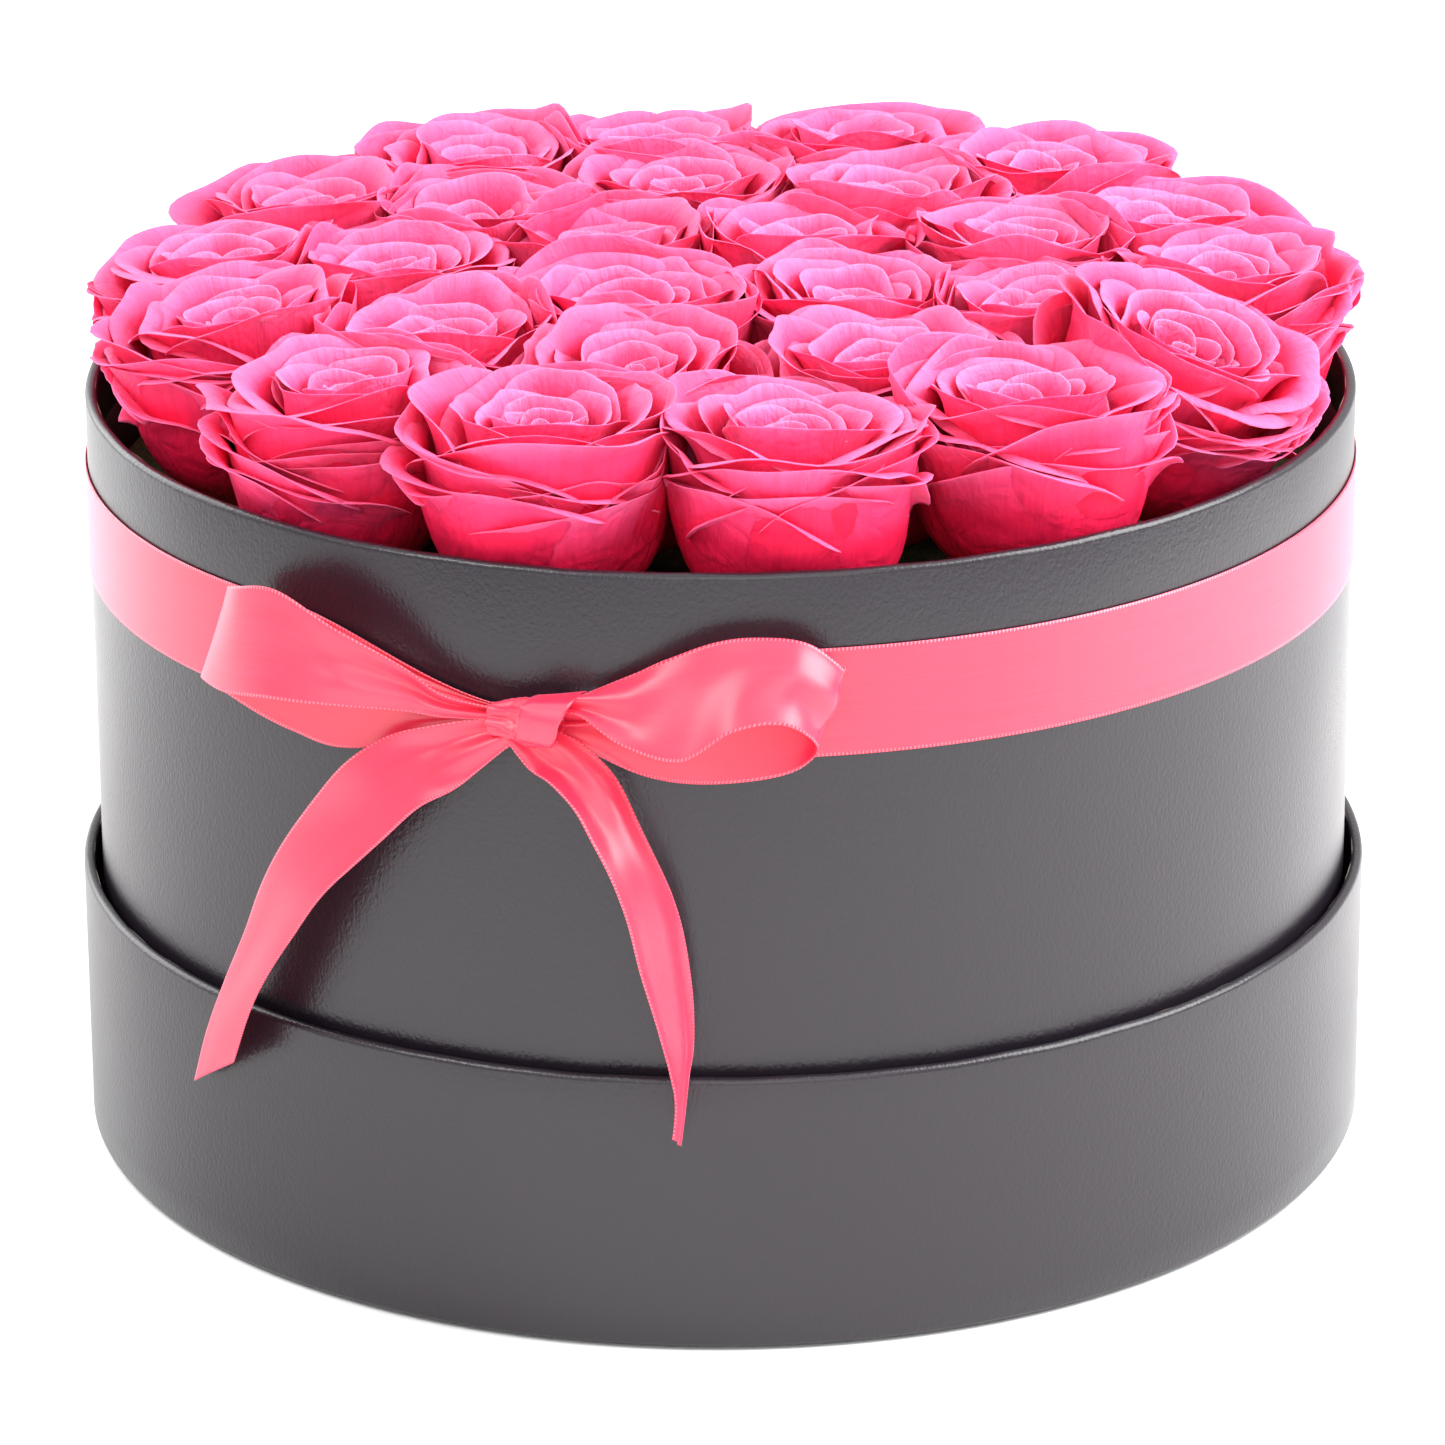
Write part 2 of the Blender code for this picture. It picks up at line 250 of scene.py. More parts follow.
# %% Embossed paper material
GRAIN_WIDTH = 0.5 * MM
paper_look, tree, shader, coords = new_material("black embossed film-laminated paper")
stretch = add(tree, "ShaderNodeMapping", {"Vector": coords.outputs["Object"], "Scale": (1, 1, 0.7)})
grain = add(tree, "ShaderNodeTexNoise", {"Vector": stretch.outputs["Vector"], "Scale": 0.6 / GRAIN_WIDTH,
                                         "Detail": 2.0, "Roughness": 0.6})
handling = add(tree, "ShaderNodeTexNoise", {"Vector": coords.outputs["Object"], "Scale": 14.0, "Detail": 4.0})
gloss = add(tree, "ShaderNodeMapRange", {"Value": handling.outputs["Fac"], "From Min": 0.3, "From Max": 0.7,
                                         "To Min": 0.26, "To Max": 0.32})
bump = add(tree, "ShaderNodeBump", {"Height": grain.outputs["Fac"], "Distance": 0.0002, "Strength": 0.65})
feed(tree, shader, {"Base Color": srgb("1d171f"), "IOR": 1.52, "Roughness": gloss.outputs["Result"],
                    "Normal": bump.outputs["Normal"]})
print("paper grain", GRAIN_WIDTH / MM, "mm")

# %% [markdown]
# ## Boards, foam and the plain papers
# Inside the covering, the box is grey board, which is pressed waste paper: matt, warm grey, flecked with
# darker and lighter fibres. The riser is brown corrugated board and the roses stand in dry floral foam,
# a stiff green froth with cells about 0.6 mm across. The linings are uncoated black paper.


# %% Matt materials
def flecked(name, dark, light, fleck, roughness, relief):
    """A matt material of two tones that mix in flecks of a real size."""
    look, tree, shader, coords = new_material(name)
    flecks = add(tree, "ShaderNodeTexNoise", {"Vector": coords.outputs["Object"], "Scale": 0.5 / fleck,
                                              "Detail": 4.0, "Roughness": 0.65})
    share = add(tree, "ShaderNodeMapRange", {"Value": flecks.outputs["Fac"], "From Min": 0.35,
                                             "From Max": 0.65})
    tone = add(tree, "ShaderNodeMix", {"Factor": share.outputs["Result"], "A": srgb(dark), "B": srgb(light)},
               data_type="RGBA")
    bump = add(tree, "ShaderNodeBump", {"Height": flecks.outputs["Fac"], "Distance": relief, "Strength": 0.6})
    feed(tree, shader, {"Base Color": tone.outputs["Result"], "Normal": bump.outputs["Normal"],
                        "Roughness": roughness})
    return look


board_look = flecked("grey board of pressed waste paper", "8a8178", "a69d92", 1.2 * MM, 0.85, 0.00005)
lining_look = flecked("uncoated black lining paper", "1a181a", "262326", 0.9 * MM, 0.55, 0.00004)
kraft_look = flecked("brown corrugated kraft board", "86623a", "9c764a", 0.9 * MM, 0.85, 0.00005)

FOAM_CELL = 0.6 * MM
foam_look, tree, shader, coords = new_material("dry floral foam")
cells = add(tree, "ShaderNodeTexVoronoi", {"Vector": coords.outputs["Object"], "Scale": 1 / FOAM_CELL})
# Painted shade: each cell's hollow, where the bump sinks, is painted the darker green.
tone = add(tree, "ShaderNodeMix", {"Factor": cells.outputs["Distance"], "A": srgb("414a29"),
                                   "B": srgb("6c764a")}, data_type="RGBA")
bump = add(tree, "ShaderNodeBump", {"Height": cells.outputs["Distance"], "Distance": 0.0003, "Strength": 0.8})
feed(tree, shader, {"Base Color": tone.outputs["Result"], "Normal": bump.outputs["Normal"],
                    "Roughness": 0.95})

KEPT_NODES = {
    "lid_wall": board_look, "lid_panel": board_look, "lid_panel_paper": paper_look,
    "box_wall": board_look, "box_floor": board_look, "box_floor_paper": paper_look,
    "riser_collar": kraft_look, "riser_deck": kraft_look, "foam_block": foam_look,
}
for name, look in KEPT_NODES.items():
    for slot in bpy.data.objects[name].material_slots:
        slot.material = look
print(len(KEPT_NODES), "packed nodes keep their shape and get their own material")

# %% [markdown]
# ## Covered walls
# The covering is one sheet of paper wound once round the board. It starts under the base, turns up the
# outside, goes over the rim, where the glue rounds it off, and ends 15 mm down inside. At the back it laps
# over its own start by 12 mm, which is the only seam, and along the rim it is never quite even. A grid has
# the same topology as a sheet of paper, so each of its points is moved to its place round the wall and along
# the section. The linings are wound in the same way, with their lap on the inside.

# %% Wound paper
PAPER = 0.25 * MM
WALL = 2.8 * MM  # board, both papers and the glue
WALL_STEPS = 240
TURNED_UNDER = 12 * MM  # of the covering, below the board
TURNED_IN = 15 * MM  # of it, below the rim on the inside
SEAM_LAP = 12 * MM
SEAM_BEARING = math.radians(97)
LAP_START, LAP_RISE = 0.35, 0.2  # radians before the end where it starts to lift, and that it takes
RIM_UNEVEN_OUT, RIM_UNEVEN_UP = 0.25 * MM, 0.22 * MM
RIM_REACH = 4 * MM  # of that unevenness below the rim


def cover_section(radius, base, rim):
    """The covering paper's section as (radius, height), from under the base to inside the wall."""
    turn = WALL / 2
    section = [(radius - TURNED_UNDER, base), (radius - 1.0 * MM, base),
               (radius - 0.3 * MM, base + 0.2 * MM), (radius, base + 0.9 * MM)]
    section += [(radius, base + (rim - base - turn) * step / 8) for step in range(1, 8)]
    for step in range(9):
        angle = math.pi * step / 8
        section.append((radius - turn + turn * math.cos(angle), rim - turn + turn * math.sin(angle)))
    section += [(radius - WALL, rim - 6 * MM), (radius - WALL, rim - TURNED_IN)]
    return section


def wind_paper(name, section, middle, rim, look, slot, body, replaces):
    """Winds a sheet round the axis and laps its end over its start, away from the middle of the board."""
    bm = bmesh.new()
    grid = bmesh.ops.create_grid(bm, x_segments=WALL_STEPS, y_segments=len(section) - 1, size=1)
    around = 2 * math.pi + SEAM_LAP / max(radius for radius, _ in section)
    for vertex in grid["verts"]:
        turned = (vertex.co.x + 1) / 2 * around
        radius, height = section[round((vertex.co.y + 1) / 2 * (len(section) - 1))]
        lap = 1.15 * PAPER * eased((turned - around + LAP_START) / LAP_RISE)
        outward = max(-1.0, min(1.0, (radius - middle) / (WALL / 2)))
        radius += lap * outward
        height += lap * math.sqrt(1 - outward ** 2)
        bearing = SEAM_BEARING + turned
        spot = Vector((math.cos(bearing) * 5, math.sin(bearing) * 5, 0))
        uneven = eased((height - rim + RIM_REACH) / RIM_REACH) * eased(turned) * eased(around - turned)
        radius += RIM_UNEVEN_OUT * uneven * noise.noise(spot)
        height += RIM_UNEVEN_UP * uneven * noise.noise(spot * 2 + Vector((0, 0, 9)))
        vertex.co = (radius * math.cos(bearing), radius * math.sin(bearing), height)
    bmesh.ops.recalc_face_normals(bm, faces=bm.faces)
    made = object_from(name, bm, look, body=body, slot=slot, replaces=replaces)
    thicken(made, "paper", PAPER, offset=-1)


wind_paper("box_cover", cover_section(BOX_RADIUS, box_low.z, BOX_RIM), BOX_RADIUS - WALL / 2, BOX_RIM,
           paper_look, "embossed_paper", "box", ["box_wrap"])
wind_paper("lid_cover", cover_section(LID_RADIUS, lid_low.z, LID_RIM), LID_RADIUS - WALL / 2, LID_RIM,
           paper_look, "embossed_paper", "lid", ["lid_wrap"])
print("covers wound in", WALL_STEPS, "steps with a lap of", SEAM_LAP / MM, "mm")

# %% Linings
NO_RIM = 1.0  # a height that nothing reaches: a lining's edge is cut straight
for name, node, body in (("box_inside_paper", "box_lining", "box"),
                         ("lid_inside_paper", "lid_lining", "lid")):
    low, high = (Vector(corner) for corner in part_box(node))
    straight = [(high.x, low.z + (high.z - low.z) * step / 6) for step in range(7)]
    wind_paper(name, straight, high.x + WALL / 2, NO_RIM, lining_look, "lining_paper", body, [node])
print("linings up to", round(lining_high.z / MM, 1), "mm")

# %% [markdown]
# ## Satin ribbon
# Double-faced polyester satin: the warp threads float over several wefts, so the face is smooth along the
# ribbon and throws a long soft gloss across it. That is anisotropic gloss with its tangent along the ribbon.
# The real threads are 0.2 mm apart, too fine to show, so the ribs are drawn 0.5 mm apart. Both edges end in
# a woven selvedge, a firm line of small stitches 0.9 mm apart, raised by a bump and painted pale as a painted
# highlight where they would catch the light.

# %% Satin material
RIBBON_WIDTH = 25 * MM
RIB_PITCH = 0.5 * MM
STITCH_PITCH = 0.9 * MM
SELVEDGE = 0.9 * MM

satin_look, tree, shader, _ = new_material("double-faced polyester satin")
cloth = add(tree, "ShaderNodeUVMap", uv_map="ribbon")
place = add(tree, "ShaderNodeSeparateXYZ", {"Vector": cloth.outputs["UV"]})
middle = add(tree, "ShaderNodeMath", {0: place.outputs["X"], 1: 0.5}, operation="SUBTRACT")
out = add(tree, "ShaderNodeMath", {0: middle.outputs[0]}, operation="ABSOLUTE")
edge = add(tree, "ShaderNodeMapRange", {"Value": out.outputs[0], "From Min": 0.5 - SELVEDGE / RIBBON_WIDTH,
                                        "From Max": 0.5 - 0.6 * SELVEDGE / RIBBON_WIDTH})
turns = 2 * math.pi * RIBBON_WIDTH
stitch_wave = add(tree, "ShaderNodeMath", {0: place.outputs["Y"], 1: turns / STITCH_PITCH},
                  operation="MULTIPLY")
stitch = add(tree, "ShaderNodeMath", {0: stitch_wave.outputs[0]}, operation="SINE")
stitches = add(tree, "ShaderNodeMath", {0: stitch.outputs[0], 1: edge.outputs["Result"]},
               operation="MULTIPLY")
rib_wave = add(tree, "ShaderNodeMath", {0: place.outputs["Y"], 1: turns / RIB_PITCH}, operation="MULTIPLY")
rib = add(tree, "ShaderNodeMath", {0: rib_wave.outputs[0]}, operation="SINE")
threads_map = add(tree, "ShaderNodeMapping", {"Vector": cloth.outputs["UV"], "Scale": (45, 0.6, 1)})
threads = add(tree, "ShaderNodeTexNoise", {"Vector": threads_map.outputs["Vector"], "Scale": 1.0,
                                           "Detail": 2.0})
relief = add(tree, "ShaderNodeMath", {0: rib.outputs[0], 1: 0.25, 2: threads.outputs["Fac"]},
             operation="MULTIPLY_ADD")
height = add(tree, "ShaderNodeMath", {0: stitches.outputs[0], 1: 1.4, 2: relief.outputs[0]},
             operation="MULTIPLY_ADD")
bump = add(tree, "ShaderNodeBump", {"Height": height.outputs[0], "Distance": 0.00003, "Strength": 0.5})
tone = add(tree, "ShaderNodeMapRange", {"Value": threads.outputs["Fac"], "From Min": 0.3, "From Max": 0.7})
body_tone = add(tree, "ShaderNodeMix", {"Factor": tone.outputs["Result"], "A": srgb("e22646"),
                                        "B": srgb("e82e50")}, data_type="RGBA")
# Painted highlight: the stitches' crests are painted pale pink, as the glint they catch.
stitch_painted_highlight = add(tree, "ShaderNodeMapRange", {"Value": stitches.outputs[0], "From Min": 0.15, "From Max": 0.9,
                                        "To Max": 0.3})
colour = add(tree, "ShaderNodeMix", {"Factor": stitch_painted_highlight.outputs["Result"], "A": body_tone.outputs["Result"],
                                     "B": srgb("ffc2cf")}, data_type="RGBA")
tangent = add(tree, "ShaderNodeTangent", direction_type="UV_MAP", uv_map="ribbon")
feed(tree, shader, {"Base Color": colour.outputs["Result"], "Normal": bump.outputs["Normal"],
                    "Tangent": tangent.outputs["Tangent"], "Roughness": 0.35, "Anisotropic": 0.7,
                    "IOR": 1.65, "Subsurface Weight": 0.12, "Subsurface Radius": (1.0, 0.25, 0.3),
                    "Subsurface Scale": 0.002, "Sheen Weight": 0.25, "Sheen Roughness": 0.3,
                    "Sheen Tint": srgb("ffc0f0")})
print("ribs", RIB_PITCH / MM, "mm apart, stitches", STITCH_PITCH / MM, "mm")

# %% [markdown]
# ## Laying ribbon along a route
# A bow is one ribbon, so every part of it is the same strip: two edges that follow smooth routes round the
# wall, with the satin stretched between them. Where the edges come closer than 25 mm the cloth has to go
# somewhere, and a sine across the strip folds the spare width into pleats. They are kept under 1 mm deep,
# so that they don't reach the wall, and slow noise dents the cloth. A route gives places as seen on the
# wall: along it from the bow's middle, up from the ribbon's middle, and out.


# %% Route and strip
SATIN = 0.3 * MM  # thickness
DEEPEST_PLEAT = 0.95 * MM
NARROWEST = 1 * MM


def on_wall(spot):
    """Turns (along the wall, up from the ribbon's middle, off the wall) into a place in space."""
    bearing = spot.x / BOX_RADIUS - math.pi / 2
    radius = BOX_RADIUS + spot.z
    return Vector((radius * math.cos(bearing), radius * math.sin(bearing), BAND_MIDDLE + spot.y))


def on_route(points, t):
    """A place on the smooth curve through the points, from 0 at its start to 1 at its end."""
    last = len(points) - 1
    reach = min(max(t, 0.0), 1.0) * last
    index = min(int(reach), last - 1)
    f = reach - index
    before, here = points[max(index - 1, 0)], points[index]
    there, after = points[index + 1], points[min(index + 2, last)]
    return (here * 2 + (there - before) * f + (before * 2 - here * 5 + there * 4 - after) * f * f
            + (here * 3 - before - there * 3 + after) * f ** 3) / 2


def lay_strip(bm, place, steps, pleats, crumple, columns=28, tucked=0.0):
    """Lays a strip on place(t, s), pleats its spare width and returns its length."""
    uv_layer = bm.loops.layers.uv.new("ribbon")
    grid = bmesh.ops.create_grid(bm, x_segments=steps, y_segments=columns, size=1)
    lengths = [0.0]
    for step in range(steps):
        lengths.append(lengths[-1] + (place((step + 1) / steps, 0.5) - place(step / steps, 0.5)).length)
    flat = {}
    for vertex in grid["verts"]:
        t, s = (vertex.co.x + 1) / 2, (vertex.co.y + 1) / 2
        flat[vertex] = (tucked + (1 - 2 * tucked) * s, lengths[round(t * steps)] / RIBBON_WIDTH)
        ahead = place(min(t + 0.004, 1), s) - place(max(t - 0.004, 0), s)
        side = place(t, min(s + 0.02, 1)) - place(t, max(s - 0.02, 0))
        normal = ahead.cross(side).normalized()
        width = max((place(t, 1) - place(t, 0)).length, NARROWEST)
        spare = max(0.0, RIBBON_WIDTH / width - 1)
        depth = min(DEEPEST_PLEAT, width / (math.pi * pleats) * math.sqrt(spare)) if pleats else 0.0
        fold = eased(spare / 0.6) * math.sin(2 * math.pi * pleats * s + 1.3 + 2.0 * t)
        dent = noise.noise(Vector((t * 5.5, s * 1.3, steps * 0.1)))
        vertex.co = on_wall(place(t, s) + normal * (depth * fold + crumple * dent))
    for face in {face for vertex in grid["verts"] for face in vertex.link_faces}:
        for loop in face.loops:
            loop[uv_layer].uv = flat[loop.vert]
    return lengths[-1]


STRETCHES = {"ribbon_turn": "ribbon_band", "loop_left": "bow_loop_left", "loop_right": "bow_loop_right",
             "tail_left": "bow_tail_left", "tail_right": "bow_tail_right", "knot_bundle": "bow_knot",
             "knot_wrap": "bow_knot"}


def ribbon_piece(name, place, steps, pleats, crumple=1.25 * MM):
    """One stretch of ribbon as a finished piece."""
    bm = bmesh.new()
    length = lay_strip(bm, place, steps, pleats, crumple)
    made = object_from(name, bm, satin_look, body="box", slot="satin_ribbon", replaces=[STRETCHES[name]])
    thicken(made, "cloth", SATIN)
    print(name, "is", round(length / MM), "mm of ribbon")


# %% [markdown]
# ## The turn round the box
# The ribbon lies tight and flat on the paper all the way round. Only near the knot does it gather and stand
# off a little, over 36 mm on the right and 66 mm on the left, where the bow pulls more. Its top edge sinks
# more than its bottom edge rises, because the knot sits low.

# %% The turn
GATHER_RIGHT = 36 * MM
GATHER_LEFT = 66 * MM
TOP_SINKS = 15 * MM
BOTTOM_RISES = 5.5 * MM
HALF_TURN = math.pi * BOX_RADIUS
TURN_LAP = 1.5 * MM  # of each end past the middle of the knot


def turn_place(t, s):
    """Round the box from the knot to the right and back to it, one end over the other."""
    along = (2 * HALF_TURN + 2 * TURN_LAP) * t - TURN_LAP
    pull = 1 - min(eased(along / GATHER_RIGHT), eased((2 * HALF_TURN - along) / GATHER_LEFT))
    top = RIBBON_WIDTH / 2 - TOP_SINKS * pull
    bottom = -RIBBON_WIDTH / 2 + BOTTOM_RISES * pull
    lift = 0.45 * MM + 1.5 * MM * pull + 0.4 * MM * eased((t - 0.9) / 0.1)
    return Vector((along, bottom + (top - bottom) * s, lift))


ribbon_piece("ribbon_turn", turn_place, 360, 2.5, crumple=0.08 * MM)


# %% [markdown]
# ## Loops and tails
# The bow is tied flat against the wall. The left loop is the larger one and shows the inside of its rear leaf
# below its front leaf; the right loop twists open and shows its wavy lower edge. Each list below holds the
# turning points of one edge in millimetres: along the wall, up, and out.

# %% Loops and tails
ROUTES = {
    "loop_left": (
        ((-3, -1.5, 7), (-9, -0.6, 7), (-19.5, 1.2, 7.5), (-28, 6.3, 8), (-41, 14.5, 13), (-55, 21, 14.5),
         (-66.5, 19, 13.5), (-74, 15, 8), (-70, 11, 4), (-50, 6.5, 2.4), (-28, 1.5, 2.2), (-10, -2, 2.5),
         (-3, -2.5, 3)),
        ((-3, -3.8, 8), (-9, -3.3, 8), (-19.5, -3.8, 9), (-28, -3.2, 10.5), (-41, -2.4, 16.5), (-55, -3, 19),
         (-69.3, -6, 16), (-83, -8, 9), (-80, -13, 4), (-62, -17, 2.6), (-45, -17.7, 2.4), (-10, -7, 2.5),
         (-3, -5.5, 3))),
    "loop_right": (
        ((3, 2, 6), (10, 4, 5.5), (22, 9.5, 6), (38, 16.5, 6.5), (49, 18, 7), (58.5, 16.5, 8), (66, 10, 8),
         (64, 10.5, 4.5), (49, 8, 2.6), (24, 6.5, 2.2), (10, 1, 2.5), (3, 0, 3)),
        ((3, -2, 8), (10, 0, 9), (20, -5, 13), (32, -7, 17), (42, 0.5, 19), (52, 1.5, 18), (59, -6, 13),
         (55, -13.5, 7), (38, -17.5, 2.6), (24, -16, 2.2), (10, -10, 2.5), (3, -7, 3))),
    "tail_left": (
        ((-5, -3.2, 6), (-10.4, -4, 5.8), (-22.5, -7, 7), (-33, -11, 7.5), (-43, -19, 8), (-52.5, -30.5, 8),
         (-60.5, -42, 8), (-67, -54, 8), (-73, -67, 8), (-80, -81, 8), (-87, -95.5, 8), (-93, -110, 8)),
        ((-3, -7.2, 8), (-6.5, -10.4, 9), (-11.5, -15, 11), (-16, -19, 13), (-22.5, -23.5, 14.5),
         (-30.5, -32, 15.5), (-38, -40.5, 15.5), (-45, -49, 15.5), (-52, -59, 15.5), (-59.5, -71, 15),
         (-67, -84, 14), (-73.5, -97.5, 13.5))),
    "tail_right": (
        ((1, -4, 7), (9.5, -7, 6), (15, -11.3, 6), (18.8, -16.3, 6), (22.6, -24, 6), (26, -32.5, 6),
         (29.8, -42.5, 6), (32.5, -52.5, 6), (34, -65, 6), (34, -78, 6), (33, -85, 6.5), (32, -92, 7.5),
         (30.5, -101, 9)),
        ((-4.8, -7.8, 8), (0, -13, 10), (4.5, -15, 12.5), (8, -17.5, 15), (12, -21, 18.5), (16, -28, 21),
         (19.5, -36.5, 21.5), (22.5, -45, 21.5), (25, -57, 21.5), (28, -70, 22), (30.3, -77, 23.5),
         (31, -83, 25), (29.8, -91.3, 27))),
}
for name, edges in ROUTES.items():
    upper, lower = ([Vector(spot) * MM for spot in edge] for edge in edges)

    def place(t, s, upper=upper, lower=lower):
        return on_route(lower, t).lerp(on_route(upper, t), s)

    ribbon_piece(name, place, 110, 1.5)

# %% [markdown]
# ## The knot
# Under the wrap the ribbon's 25 mm are rolled into a pleated bundle, 6 mm thick at its left end and 9 mm
# where the wrap holds it. Over it goes one tight turn of ribbon, folded lengthwise in three, so that it
# shows as a flat facet, 9 mm wide at the top and 7 mm at the bottom. Both are strips as before, with a tube
# and an arc as their routes. Their flat lengths are estimates of how much ribbon the knot takes up.

# %% Knot
KNOT_DROP = 2 * MM  # of the knot's middle below the ribbon's middle
KNOT_LIFT = 7.4 * MM  # of it off the wall
KNOT_STEPS = 48
KNOT_TUCKED = 0.08  # the share of the width at each edge that is out of sight, so that no stitches show


def bundle_place(t, s):
    """A rolled strip that runs along the wall through the knot and thickens towards the wrap."""
    along = (15 * t - 9) * MM
    roll = math.pi + 2 * math.pi * 0.97 * s + 1.1 * t
    girth = (2.9 + 1.8 * eased(1.4 * t)) * MM
    pleat = 1 + 0.21 * math.cos(6 * roll + 4 * t) + 0.06 * math.cos(11 * roll - 6 * t)
    return Vector((along, -KNOT_DROP - 0.9 * MM + girth * pleat * math.sin(roll),
                   KNOT_LIFT + 0.95 * girth * pleat * math.cos(roll)))


def squared(value):
    """Flattens a sine or cosine, so that an arc gets a flat front and firm corners."""
    return math.copysign(abs(value) ** 0.72, value)


def wrap_place(t, s):
    """One turn over the knot's front, from behind its top to behind its lower side."""
    turn = math.radians(125 - 240 * t)
    layer = min(int(3 * s), 2)
    across = 3 * s - layer if layer % 2 == 0 else 1 - (3 * s - layer)
    width = (9.8 - 3.4 * t) * (0.86 + 0.07 * layer) * MM
    centre = (6.2 - 6.4 * t) * MM
    proud = 0.9 * MM * s
    tilt = 2.2 * MM * (across - 0.5)
    return Vector((centre + width * (across - 0.5),
                   -KNOT_DROP + (4.5 * MM + proud) * squared(math.sin(turn)) - tilt * math.cos(turn),
                   KNOT_LIFT + (5.0 * MM + proud) * squared(math.cos(turn)) - 0.5 * tilt))


for name, place, flat_length in (("knot_bundle", bundle_place, 20 * MM), ("knot_wrap", wrap_place, 24 * MM)):
    bm = bmesh.new()
    lay_strip(bm, place, KNOT_STEPS, 0, 0.25 * MM, columns=KNOT_STEPS, tucked=KNOT_TUCKED)
    made = object_from(name, bm, satin_look, body="box", slot="satin_ribbon", replaces=[STRETCHES[name]])
    thicken(made, "cloth", SATIN)
print("knot", round(KNOT_LIFT / MM, 1), "mm off the wall")

# %% [markdown]
# ## Rose petals
# A preserved rose keeps its natural build: some thirty petals in a spiral, each a shallow spoon that holds
# the next one in. They are dyed one hot pink after drying. The colour is painted paler at the rims and in the
# heart, as painted highlight, and redder and darker at each petal's base and on the outer petals, as painted
# shade where petal lies on petal. Light passes through the thin flesh, which is why the folds glow instead of
# going grey. Fine veins fan out about 1 mm apart.

# %% Petal material
petal_look, tree, shader, _ = new_material("dyed preserved rose petal")
flesh = add(tree, "ShaderNodeUVMap", uv_map="petal")
split = add(tree, "ShaderNodeSeparateXYZ", {"Vector": flesh.outputs["UV"]})
growth = add(tree, "ShaderNodeUVMap", uv_map="place in bloom")
which = add(tree, "ShaderNodeSeparateXYZ", {"Vector": growth.outputs["UV"]})


def ramp_with_painted_light(*stops):
    """A colour ramp from a petal's base, 0, to its rim, 1, with painted shade towards the base and a painted
    highlight at the rim.
    """
    ramp = add(tree, "ShaderNodeValToRGB", {"Fac": split.outputs["Y"]})
    ramp.color_ramp.elements[0].position = stops[0][0]
    ramp.color_ramp.elements[0].color = srgb(stops[0][1])
    ramp.color_ramp.elements[1].position = stops[-1][0]
    ramp.color_ramp.elements[1].color = srgb(stops[-1][1])
    for position, code in stops[1:-1]:
        ramp.color_ramp.elements.new(position).color = srgb(code)
    return ramp.outputs["Color"]


# Painted light: both ramps are deep red at a petal's base, painted shade where petal lies on petal, and pale
# at its rim, a painted highlight.
heart_tone_painted_light = ramp_with_painted_light((0.45, "dc0c42"), (0.74, "f22f69"), (0.90, "fc5f95"), (1.0, "ff82b0"))
outer_tone_painted_light = ramp_with_painted_light((0.25, "e00a34"), (0.66, "ee1a48"), (0.86, "f63c6e"), (1.0, "fd6494"))
# Painted shade: the outer petals' ramp is redder and darker than the heart's, mixed in by the petal's place
# in the bloom.
painted_shade_by_layer = add(tree, "ShaderNodeMix", {"Factor": which.outputs["X"], "A": heart_tone_painted_light, "B": outer_tone_painted_light},
              data_type="RGBA")
veins_map = add(tree, "ShaderNodeMapping", {"Vector": flesh.outputs["UV"], "Scale": (34, 2.5, 1)})
veins = add(tree, "ShaderNodeTexNoise", {"Vector": veins_map.outputs["Vector"], "Scale": 1.0, "Detail": 3.0,
                                         "Distortion": 0.4})
blotch_map = add(tree, "ShaderNodeMapping", {"Vector": flesh.outputs["UV"], "Scale": (3, 2, 1)})
blotch = add(tree, "ShaderNodeTexNoise", {"Vector": blotch_map.outputs["Vector"], "Scale": 1.0,
                                          "Detail": 3.0})
shade_vein = add(tree, "ShaderNodeMapRange", {"Value": veins.outputs["Fac"], "From Min": 0.35,
                                              "From Max": 0.62, "To Min": 0.87, "To Max": 1.0})
shade_blotch = add(tree, "ShaderNodeMapRange", {"Value": blotch.outputs["Fac"], "From Min": 0.3,
                                                "From Max": 0.6, "To Min": 0.84, "To Max": 1.04})
shade = add(tree, "ShaderNodeMath", {0: shade_vein.outputs["Result"], 1: shade_blotch.outputs["Result"]},
            operation="MULTIPLY")
dye = add(tree, "ShaderNodeMath", {0: shade.outputs[0], 1: which.outputs["Y"]}, operation="MULTIPLY")
colour = add(tree, "ShaderNodeVectorMath", {0: painted_shade_by_layer.outputs["Result"], "Scale": dye.outputs[0]},
             operation="SCALE")
crumple_map = add(tree, "ShaderNodeMapping", {"Vector": flesh.outputs["UV"], "Scale": (9, 6, 1)})
crumple = add(tree, "ShaderNodeTexNoise", {"Vector": crumple_map.outputs["Vector"], "Scale": 1.0,
                                           "Detail": 3.0, "Distortion": 0.8})
relief = add(tree, "ShaderNodeMath", {0: veins.outputs["Fac"], 1: 0.45, 2: crumple.outputs["Fac"]},
             operation="MULTIPLY_ADD")
bump = add(tree, "ShaderNodeBump", {"Height": relief.outputs[0], "Distance": 0.002, "Strength": 0.6})
feed(tree, shader, {"Base Color": colour.outputs["Vector"], "Normal": bump.outputs["Normal"],
                    "Roughness": 0.6, "IOR": 1.22, "Subsurface Weight": 0.3,
                    "Subsurface Radius": (1.0, 0.2, 0.32), "Subsurface Scale": 0.0026})

